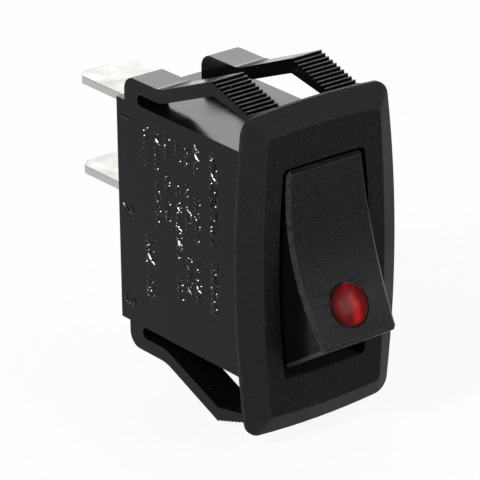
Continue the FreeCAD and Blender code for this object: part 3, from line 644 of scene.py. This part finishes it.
def round_wear_and_light(bm, folds, width, segments, worn):
    """Rounds some edges and notes how far their new faces are scuffed and painted lighter as a highlight."""
    layer = bm.faces.layers.float.get("worn") or bm.faces.layers.float.new("worn")
    if not folds:
        raise RuntimeError("found no edge to round")
    made = bmesh.ops.bevel(bm, geom=folds, offset=width, offset_type="OFFSET", segments=segments,
                           profile=0.5, affect="EDGES", clamp_overlap=True)
    for face in made["faces"]:
        face[layer] = worn


def finished_mesh(name, bm, smooth_below=32.0):
    """A smooth-shaded mesh with sharp edges where the fold is steep, its flat faces shaded flat."""
    rough = bpy.data.meshes.new("rough")
    bm.to_mesh(rough)
    bm.free()
    rough.shade_smooth()
    rough.set_sharp_from_angle(angle=math.radians(smooth_below))
    host = bpy.data.objects.new("host", rough)
    bpy.context.scene.collection.objects.link(host)
    normals = host.modifiers.new("normals", "WEIGHTED_NORMAL")
    normals.keep_sharp = True
    mesh = bpy.data.meshes.new_from_object(host.evaluated_get(bpy.context.evaluated_depsgraph_get()))
    bpy.data.objects.remove(host)
    bpy.data.meshes.remove(rough)
    mesh.name = name
    return mesh


def finish_nodes(material, slot_name, *nodes):
    """Gives CAD nodes a material in place of their plain one."""
    for node in nodes:
        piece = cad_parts[node]
        piece.data.materials.clear()
        piece.data.materials.append(material)


def lathe(profile, steps):
    """Closed round mesh about Z from (radius, z) points that start and end on the axis."""
    bm = bmesh.new()
    verts = [bm.verts.new((radius, 0.0, z)) for radius, z in profile]
    edges = [bm.edges.new(pair) for pair in zip(verts, verts[1:])]
    bmesh.ops.spin(bm, geom=verts + edges, cent=(0, 0, 0), axis=(0, 0, 1), angle=math.tau,
                   steps=steps, use_merge=True)
    bmesh.ops.remove_doubles(bm, verts=bm.verts, dist=SAME)
    bmesh.ops.recalc_face_normals(bm, faces=bm.faces)
    return bm


def facing(centre, direction):
    """Matrix that puts a piece made about Z at a centre, its Z along a direction."""
    turn = Vector((0, 0, 1)).rotation_difference(Vector(direction))
    return Matrix.Translation(centre) @ turn.to_matrix().to_4x4()


def flat_back(node):
    """Centre and outward normal of a round node's largest flat face."""
    groups = {}
    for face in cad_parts[node].data.polygons:
        key = tuple(round(value, 3) for value in face.normal)
        area, centre = groups.get(key, (0.0, Vector()))
        groups[key] = (area + face.area, centre + face.center * face.area)
    key = max(groups, key=lambda name: groups[name][0])
    area, centre = groups[key]
    return centre / area, Vector(key).normalized()


def coil_line(node, turns):
    """Ends of a CAD spring's axis, and the spring's outer radius."""
    points = [vert.co.copy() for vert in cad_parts[node].data.vertices]
    low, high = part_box(node)
    axis = Vector((0, high.y - low.y, 0)).normalized()
    for _ in range(3):
        points.sort(key=axis.dot)
        count = len(points) // turns
        first = sum(points[:count], Vector()) / count
        last = sum(points[-count:], Vector()) / count
        axis = (last - first).normalized()
    reach = [(point - first).dot(axis) for point in points]
    radius = max(((point - first) - axis * (point - first).dot(axis)).length for point in points)
    return first + axis * min(reach), first + axis * max(reach), radius


def make_coil(name):
    """Node tree of a round-wire coil spring along Z, from z = 0 up."""
    tree, given, out = new_group(name, "GeometryNodeTree", [
        ("Coil Radius", "NodeSocketFloat", 0.8 * MM), ("Wire Radius", "NodeSocketFloat", 0.1 * MM),
        ("Turns", "NodeSocketFloat", 6.0), ("Length", "NodeSocketFloat", 5 * MM),
        ("Material", "NodeSocketMaterial", None),
    ], [("Geometry", "NodeSocketGeometry")])
    tree.is_modifier = True
    path = add(tree, "GeometryNodeCurveSpiral", Resolution=28, Rotations=given["Turns"],
               Start_Radius=given["Coil Radius"], End_Radius=given["Coil Radius"], Height=given["Length"])
    ring = add(tree, "GeometryNodeCurvePrimitiveCircle", Resolution=10, Radius=given["Wire Radius"])
    wire = add(tree, "GeometryNodeCurveToMesh", Curve=path.outputs["Curve"],
               Profile_Curve=ring.outputs["Curve"], Fill_Caps=True)
    close_nodes(tree, wire.outputs["Mesh"], given["Material"], out)
    return tree


def make_marks(name):
    """Node tree of one row of raised, hipped strokes and studs along X."""
    tree, given, out = new_group(name, "GeometryNodeTree", [
        ("Row Length", "NodeSocketFloat", 8 * MM), ("Count", "NodeSocketInt", 16),
        ("Height", "NodeSocketFloat", 0.8 * MM), ("Stroke", "NodeSocketFloat", 0.26 * MM),
        ("Relief", "NodeSocketFloat", 0.1 * MM), ("Seed", "NodeSocketInt", 0),
        ("Material", "NodeSocketMaterial", None),
    ], [("Geometry", "NodeSocketGeometry")])
    tree.is_modifier = True
    joined = add(tree, "GeometryNodeJoinGeometry")
    step = calc(tree, "DIVIDE", given["Row Length"], given["Count"])
    offset = add(tree, "ShaderNodeCombineXYZ", X=step)
    for layer, (sides, wide, long, kept_share, turn) in enumerate(MARK_LAYERS):
        seed = calc(tree, "ADD", given["Seed"], SEED_STEP * layer)
        line = add(tree, "GeometryNodeMeshLine", Count=given["Count"], Offset=offset.outputs["Vector"])
        chance = add(tree, "FunctionNodeRandomValue", {"data_type": "BOOLEAN"},
                     Probability=1.0 - kept_share, Seed=seed)
        kept = add(tree, "GeometryNodeDeleteGeometry", {"domain": "POINT"}, Geometry=line.outputs["Mesh"],
                   Selection=chance.outputs["Value"])
        shift = add(tree, "FunctionNodeRandomValue", {"data_type": "FLOAT_VECTOR"}, Seed=seed)
        along, across = MARK_STRAY
        reach = add(tree, "ShaderNodeCombineXYZ", X=calc(tree, "MULTIPLY", step, along),
                    Y=calc(tree, "MULTIPLY", given["Height"], 0.0 if long == 1.0 else across))
        fill(tree, shift.inputs["Max"], reach.outputs["Vector"])
        back = add(tree, "ShaderNodeVectorMath", {"operation": "SCALE"}, Vector=reach.outputs["Vector"],
                   Scale=-1.0)
        fill(tree, shift.inputs["Min"], back.outputs["Vector"])
        moved = add(tree, "GeometryNodeSetPosition", Geometry=kept.outputs["Geometry"],
                    Offset=shift.outputs["Value"])
        foot = 0.5 / math.cos(math.pi / sides)
        stud = add(tree, "GeometryNodeMeshCone", Vertices=sides, Radius_Top=foot * MARK_TOP,
                   Radius_Bottom=foot, Depth=1.0)
        lined_up = add(tree, "GeometryNodeTransform", Geometry=stud.outputs["Mesh"])
        fill(tree, lined_up.inputs["Rotation"], (0.0, 0.0, math.pi / sides))
        fill(tree, lined_up.inputs["Translation"], (0.0, 0.0, -MARK_SINK))
        width = calc(tree, "MULTIPLY", given["Stroke"], wide)
        reach_along = width if long is None else calc(tree, "MULTIPLY", given["Height"], long)
        size = add(tree, "ShaderNodeCombineXYZ", X=width, Y=reach_along, Z=given["Relief"])
        placed_marks = add(tree, "GeometryNodeInstanceOnPoints", Points=moved.outputs["Geometry"],
                           Instance=lined_up.outputs["Geometry"], Rotation=(0.0, 0.0, math.radians(turn)),
                           Scale=size.outputs["Vector"])
        tree.links.new(placed_marks.outputs["Instances"], joined.inputs["Geometry"])
    close_nodes(tree, joined.outputs["Geometry"], given["Material"], out)
    return tree


def close_nodes(tree, geometry, material, out):
    """Ends a tree: real meshes, smooth, with their material."""
    real = add(tree, "GeometryNodeRealizeInstances", Geometry=geometry)
    smooth = add(tree, "GeometryNodeSetShadeSmooth", Geometry=real.outputs["Geometry"])
    painted = add(tree, "GeometryNodeSetMaterial", Geometry=smooth.outputs["Geometry"], Material=material)
    fill(tree, out.inputs["Geometry"], painted.outputs["Geometry"])


def grown(tree, **values):
    """The plain mesh that a node tree makes with these input values."""
    host = bpy.data.objects.new("host", bpy.data.meshes.new("host"))
    bpy.context.scene.collection.objects.link(host)
    modifier = host.modifiers.new("shape", "NODES")
    modifier.node_group = tree
    for item in tree.interface.items_tree:
        if item.in_out == "INPUT":
            modifier[item.identifier] = values[item.name.replace(" ", "_").lower()]
    ready = host.evaluated_get(bpy.context.evaluated_depsgraph_get())
    mesh = bpy.data.meshes.new_from_object(ready)
    bpy.data.objects.remove(host)
    return mesh


def side_place(y, z):
    """Matrix of a mark on the body's left side: it reads downwards, its top towards the bezel."""
    return Matrix(((0, 0, -1, BODY_SIDE_X), (0, -1, 0, y), (-1, 0, 0, z), (0, 0, 0, 1)))


def past_surround(at):
    """Whether a point lies outside the flat surround of the bezel's opening."""
    return abs(at.x) > SURROUND_X or abs(at.z) > SURROUND_Z


def on_body_edge(at, run):
    """Whether an edge is one of the body's four long edges behind the bezel."""
    beside = abs(abs(at.x) + BODY_SIDE_X) < NEAR and abs(abs(at.z) - BODY_TOP_Z) < NEAR
    return beside and abs(run.y) > 0.99 and at.y > 0.0


def is_crest(edge):
    """Whether an edge is an outer fold that runs across a snap arm, clear of the body and the bezel."""
    if not edge.is_manifold:
        return False
    first, last = (vert.co for vert in edge.verts)
    across = abs(first.x - last.x) > CREST_RUN
    clear = min(abs(first.z), abs(last.z)) > CREST_Z and min(first.y, last.y) > CREST_Y
    return across and clear and edge.calc_face_angle_signed() > math.radians(CREST_FOLD)


def housing_finish(face):
    """Which finish a face of the housing has: 0 smooth body, 1 bezel, 2 the bezel's bevel, painted lighter
    as if lit.
    """
    if face.center.y >= NEAR:
        return 0
    low, high = BEVEL_TILT
    return 2 if past_surround(face.center) and low < face.normal.y < high else 1


class SWITCH_OT_housing(bpy.types.Operator):
    """Housing with rounded edges, a grained bezel and a smooth body"""

    bl_idname = "switch.housing"
    bl_label = "Housing"

    def execute(self, context):
        settings = context.scene.switch_moulding
        bm = merged("housing")
        round_off(bm, lambda at, run: abs(at.y - FACE_Y) < NEAR and past_surround(at),
                  settings.face_round, 5, worn=WORN_AND_LIT["fold"])
        round_off(bm, lambda at, run: abs(at.y - RIM_Y) < NEAR, settings.rim_round, 4, worn=WORN_AND_LIT["rim"])
        round_off(bm, lambda at, run: abs(at.y - FACE_Y) < NEAR and not past_surround(at),
                  settings.opening_round, least=60.0, worn=WORN_AND_LIT["opening"])
        round_off(bm, on_body_edge, settings.body_round, least=60.0, worn=WORN_AND_LIT["body"])
        # Crests of the snap arms get the light edge tone: a painted highlight along the serrations
        round_wear_and_light(bm, [edge for edge in bm.edges if is_crest(edge)], settings.arm_round, 2, WORN_AND_LIT["crest"])
        layer = bm.faces.layers.float["worn"]
        # A thin painted highlight line along the bezel's rim
        low, high = RIM_HIGHLIGHT_Y
        for face in bm.faces:
            if low < face.calc_center_median().y < high and face.calc_area() < RIM_HIGHLIGHT_AREA:
                face[layer] = WORN_AND_LIT["rim highlight"]
        mesh = finished_mesh("housing_shell", bm)
        finishes = [
            body_nylon(),
            face_nylon("grained bezel nylon", settings.bezel_black, settings.bezel_matt, BEZEL_SHINE),
            # The bevel's copy of the bezel finish is painted lighter as if lit
            face_nylon("grained bevel nylon painted lighter", settings.lit_bevel_black, settings.bezel_matt, BEZEL_SHINE),
        ]
        piece = new_piece("housing_shell", mesh, *finishes)
        for face in mesh.polygons:
            face.material_index = housing_finish(face)
        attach(piece, "base")
        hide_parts("housing")
        return {"FINISHED"}


class SWITCH_OT_position_numbers(bpy.types.Operator):
    """Raised position numbers beside the three terminal places"""

    bl_idname = "switch.position_numbers"
    bl_label = "Position numbers"

    def execute(self, context):
        settings = context.scene.switch_marks
        bm = bmesh.new()
        for figure, z in NUMBER_PLACES:
            curve = bpy.data.curves.new("number", "FONT")
            curve.body = figure
            curve.size = settings.number_size
            curve.align_x = "CENTER"
            curve.align_y = "CENTER"
            curve.extrude = settings.number_raise - settings.number_slope
            curve.bevel_depth = settings.number_slope
            curve.bevel_resolution = 0
            curve.offset = -0.4 * settings.number_slope
            host = bpy.data.objects.new("number", curve)
            context.scene.collection.objects.link(host)
            mesh = bpy.data.meshes.new_from_object(host.evaluated_get(context.evaluated_depsgraph_get()))
            mesh.transform(side_place(NUMBER_Y, z))
            bm.from_mesh(mesh)
            bpy.data.objects.remove(host)
        bmesh.ops.remove_doubles(bm, verts=bm.verts, dist=SAME)
        bmesh.ops.recalc_face_normals(bm, faces=bm.faces)
        piece = new_piece("position_numbers", finished_mesh("position_numbers", bm), mark_nylon())
        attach(piece, "base")
        return {"FINISHED"}


class SWITCH_OT_side_marks(bpy.types.Operator):
    """Rows of plain raised strokes and dots on the body's left side"""

    bl_idname = "switch.side_marks"
    bl_label = "Side marks"

    def execute(self, context):
        settings = context.scene.switch_marks
        material = mark_nylon()
        tree = make_marks("row of marks")
        bm = bmesh.new()
        for row, measures in enumerate(MARK_ROWS):
            y, top, bottom, height = (measure * MM for measure in measures)
            span = top - bottom
            mesh = grown(tree, row_length=span, count=round(span / settings.mark_pitch), height=height,
                         stroke=settings.mark_width, relief=settings.mark_raise,
                         seed=settings.mark_seed + row, material=material)
            mesh.transform(side_place(y, top))
            bm.from_mesh(mesh)
        bmesh.ops.recalc_face_normals(bm, faces=bm.faces)
        piece = new_piece("side_marks", finished_mesh("side_marks", bm, smooth_below=25.0), material)
        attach(piece, "base")
        return {"FINISHED"}


class SWITCH_OT_rocker(bpy.types.Operator):
    """Rocker with a rounded rim and a fine grain, its rim and chamfers painted lighter as a highlight"""

    bl_idname = "switch.rocker"
    bl_label = "Rocker"

    def execute(self, context):
        settings = context.scene.switch_moulding
        bm = merged("rocker")
        # The rocker's rounded edges and chamfers get the light edge tone: mostly a painted highlight line
        round_off(bm, lambda at, run: True, settings.rocker_round, least=25.0, worn=WORN_AND_LIT["rocker"])
        bm.normal_update()
        layer = bm.faces.layers.float["worn"]
        least, most = CHAMFER_TILT
        for face in bm.faces:
            if least < abs(face.normal.x) < most and face.normal.y < -0.2:
                face[layer] = WORN_AND_LIT["chamfer"]
        mesh = finished_mesh("rocker_shell", bm)
        grained = face_nylon("grained rocker nylon", settings.rocker_black, settings.rocker_matt,
                             ROCKER_SHINE)
        piece = new_piece("rocker_shell", mesh, grained, body_nylon())
        for face in mesh.polygons:
            face.material_index = 1 if abs(face.normal.x) > most else 0
        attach(piece, "rocker")
        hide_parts("rocker")
        return {"FINISHED"}


class SWITCH_OT_lens(bpy.types.Operator):
    """Domed red lens with its flange"""

    bl_idname = "switch.lens"
    bl_label = "Lens"

    def execute(self, context):
        settings = context.scene.switch_lens
        back, axis = flat_back("lens")
        points = [(vert.co - back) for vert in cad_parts["lens"].data.vertices]
        flange_radius = max((point - axis * point.dot(axis)).length for point in points)
        crown = max(-point.dot(axis) for point in points)
        rim = crown - settings.dome
        flange = rim - settings.rim_depth
        ball = (settings.rim_radius ** 2 + settings.dome ** 2) / (2 * settings.dome)
        profile = [(0.0, 0.0), (flange_radius, 0.0), (flange_radius, flange), (settings.rim_radius, flange),
                   (settings.rim_radius, rim)]
        edge_angle = math.asin(settings.rim_radius / ball)
        for step in range(DOME_STEPS + 1):
            angle = edge_angle * (1 - step / DOME_STEPS)
            profile.append((ball * math.sin(angle), crown - ball + ball * math.cos(angle)))
        bm = lathe(profile, LENS_SEGMENTS)
        bm.transform(facing(back, -axis))
        round_off(bm, lambda at, run: True, settings.rim_round, least=40.0)
        mesh = finished_mesh("lens_dome", bm, smooth_below=40.0)
        piece = new_piece("lens_dome", mesh, lens_red(back, axis))
        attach(piece, "rocker")
        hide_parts("lens")
        return {"FINISHED"}


class SWITCH_OT_lamp(bpy.types.Operator):
    """Finishes of the lamp, its holder, its wires, its resistor and the contact pads"""

    bl_idname = "switch.lamp"
    bl_label = "Lamp and holder"

    def execute(self, context):
        glass = plain_finish("lamp glass", (0.93, 0.9, 0.86), 0.08, clear=0.85)
        finish_nodes(glass, "lamp_glass", "lamp")
        nylon = plain_finish("natural nylon", (0.78, 0.76, 0.70), 0.4)
        finish_nodes(nylon, "natural_nylon", "lamp_holder")
        wire = plain_finish("tinned wire", (0.72, 0.71, 0.69), 0.3, metallic=1.0)
        finish_nodes(wire, "tinned_wire", "lamp_lead_left", "lamp_lead_right", "resistor_lead_upper",
                     "resistor_lead_lower")
        lacquer = plain_finish("resistor lacquer", (0.60, 0.46, 0.28), 0.3)
        finish_nodes(lacquer, "resistor_coating", "resistor")
        brass = plain_finish("bright brass", (0.80, 0.60, 0.28), 0.25, metallic=1.0)
        finish_nodes(brass, "contact_brass", "contact_pad_left", "contact_pad_right")
        return {"FINISHED"}


class SWITCH_OT_springs(bpy.types.Operator):
    """Round-wire coil springs that stretch with the rocker and the plunger"""

    bl_idname = "switch.springs"
    bl_label = "Springs"

    def execute(self, context):
        settings = context.scene.switch_springs
        material = plain_finish("spring wire", (0.55, 0.55, 0.56), 0.25, metallic=1.0)
        tree = make_coil("coil spring")
        rows = [("lamp_spring_left", settings.lamp_turns, settings.lamp_wire, "rocker", "base"),
                ("lamp_spring_right", settings.lamp_turns, settings.lamp_wire, "rocker", "base"),
                ("plunger_spring", settings.plunger_turns, settings.plunger_wire, "rocker", "plunger")]
        for node, turns, wire, near_body, far_body in rows:
            start, end, radius = coil_line(node, turns)
            run = end - start
            mesh = grown(tree, coil_radius=radius - wire, wire_radius=wire, turns=float(turns),
                         length=run.length - 2 * wire, material=material)
            mesh.transform(facing(start + run.normalized() * wire, run))
            piece = new_piece(node.replace("spring", "coil"), mesh, material)
            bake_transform(piece, near_body, far_body, start=start, end=end)
            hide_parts(node)
        return {"FINISHED"}


class SWITCH_OT_contacts(bpy.types.Operator):
    """Finishes of the plunger, the contact blade and the rivets"""

    bl_idname = "switch.contacts"
    bl_label = "Plunger and contacts"

    def execute(self, context):
        acetal = plain_finish("white acetal", (0.82, 0.81, 0.77), 0.35)
        finish_nodes(acetal, "plunger_acetal", "plunger")
        copper = plain_finish("rolled copper", (0.75, 0.42, 0.26), 0.3, metallic=1.0)
        finish_nodes(copper, "contact_copper", "moving_contact")
        silver = plain_finish("contact silver", (0.85, 0.84, 0.82), 0.25, metallic=1.0)
        finish_nodes(silver, "contact_silver", "moving_contact_rivet", "fixed_contact_rivet")
        return {"FINISHED"}


class SWITCH_OT_terminals(bpy.types.Operator):
    """Tin-plated terminals with softened edges"""

    bl_idname = "switch.terminals"
    bl_label = "Terminals"

    def execute(self, context):
        settings = context.scene.switch_metal
        material = tin_plate()
        for node in ("terminal_1", "terminal_2"):
            bm = merged(node)
            round_off(bm, lambda at, run: at.y > BODY_REAR_Y - TAB_ROOT, settings.tab_round, 2, least=40.0)
            piece = new_piece(node + "_plated", finished_mesh(node + "_plated", bm), material)
            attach(piece, "base")
            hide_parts(node)
        return {"FINISHED"}


def add_lamp(name, place, size, watts):
    """An area lamp that looks at the cut-out's centre."""
    lamp = bpy.data.lights.new(name, "AREA")
    lamp.shape = "RECTANGLE"
    lamp.size, lamp.size_y = size
    lamp.energy = watts
    holder = bpy.data.objects.new(name, lamp)
    holder.location = place
    holder.rotation_euler = (-Vector(place)).to_track_quat("-Z", "Y").to_euler()
    bpy.context.scene.collection.objects.link(holder)


def camera_axes(settings):
    """The camera's right, up and backward directions, and its place."""
    a, e, r = settings.azimuth, settings.elevation, settings.roll
    away = Vector((math.sin(a) * math.cos(e), -math.cos(a) * math.cos(e), math.sin(e)))
    level = Vector((math.cos(a), math.sin(a), 0.0))
    upright = away.cross(level)
    right = level * math.cos(r) - upright * math.sin(r)
    up = level * math.sin(r) + upright * math.cos(r)
    middle = PHOTO_PX / 2
    aside = (middle - settings.origin_px[0]) / settings.focal_px
    above = (settings.origin_px[1] - middle) / settings.focal_px
    backward = (away - right * aside - up * above).normalized()
    right = up.cross(backward).normalized()
    return right, backward.cross(right), backward, away * settings.distance


class SWITCH_OT_stage(bpy.types.Operator):
    """Pale floor, soft lamps and the camera of the photo"""

    bl_idname = "switch.stage"
    bl_label = "Stage"

    def execute(self, context):
        scene = context.scene
        settings = scene.switch_stage
        scene.view_settings.view_transform = "Standard"
        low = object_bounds()[0]
        bm = bmesh.new()
        bmesh.ops.create_grid(bm, x_segments=1, y_segments=1, size=FLOOR_REACH)
        bm.transform(Matrix.Translation((0, 0, low[2] - FLOOR_GAP)))
        floor = new_piece("floor", finished_mesh("floor", bm), pale_floor(settings.floor_colour))
        floor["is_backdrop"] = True
        world = bpy.data.worlds.new("soft room")
        world.use_nodes = True
        world.node_tree.nodes["Background"].inputs["Color"].default_value = WHITE
        world.node_tree.nodes["Background"].inputs["Strength"].default_value = WORLD_LIGHT
        scene.world = world
        for lamp in LAMPS:
            add_lamp(*lamp)
        right, up, backward, place = camera_axes(settings)
        camera = bpy.data.cameras.new("camera")
        camera.sensor_width = SENSOR_MM
        camera.lens = camera.sensor_width * settings.focal_px / PHOTO_PX
        camera.clip_start = 0.01
        holder = bpy.data.objects.new("camera", camera)
        turn = Matrix((right, up, backward)).transposed().to_4x4()
        holder.matrix_world = Matrix.Translation(place) @ turn
        scene.collection.objects.link(holder)
        scene.camera = holder
        return {"FINISHED"}


class SWITCH_PT_panel(bpy.types.Panel):
    """Lists the switch's settings and steps"""

    bl_idname = "SWITCH_PT_panel"
    bl_label = "Rocker switch"
    bl_space_type = "VIEW_3D"
    bl_region_type = "UI"
    bl_category = "Switch"

    def draw(self, context):
        for name, group in SETTINGS.items():
            box = self.layout.box()
            box.label(text=group.bl_rna.description or group.__doc__)
            for key in group.__annotations__:
                box.prop(getattr(context.scene, name), key)
        for operator in OPERATORS:
            self.layout.operator(operator.bl_idname)


OPERATORS = (
    SWITCH_OT_housing,
    SWITCH_OT_position_numbers,
    SWITCH_OT_side_marks,
    SWITCH_OT_rocker,
    SWITCH_OT_lens,
    SWITCH_OT_lamp,
    SWITCH_OT_springs,
    SWITCH_OT_contacts,
    SWITCH_OT_terminals,
    SWITCH_OT_stage,
)


def register():
    """Registers the settings, the steps and the panel."""
    for name, group in SETTINGS.items():
        bpy.utils.register_class(group)
        setattr(bpy.types.Scene, name, PointerProperty(type=group))
    for operator in OPERATORS:
        bpy.utils.register_class(operator)
    bpy.utils.register_class(SWITCH_PT_panel)


def unregister():
    """Takes them away again."""
    bpy.utils.unregister_class(SWITCH_PT_panel)
    for operator in reversed(OPERATORS):
        bpy.utils.unregister_class(operator)
    for name, group in SETTINGS.items():
        delattr(bpy.types.Scene, name)
        bpy.utils.unregister_class(group)


def main():
    """Builds every piece and the stage."""
    register()
    for operator in OPERATORS:
        step = getattr(bpy.ops.switch, operator.bl_idname.split(".")[1])
        step()


if __name__ == "__main__":
    main()
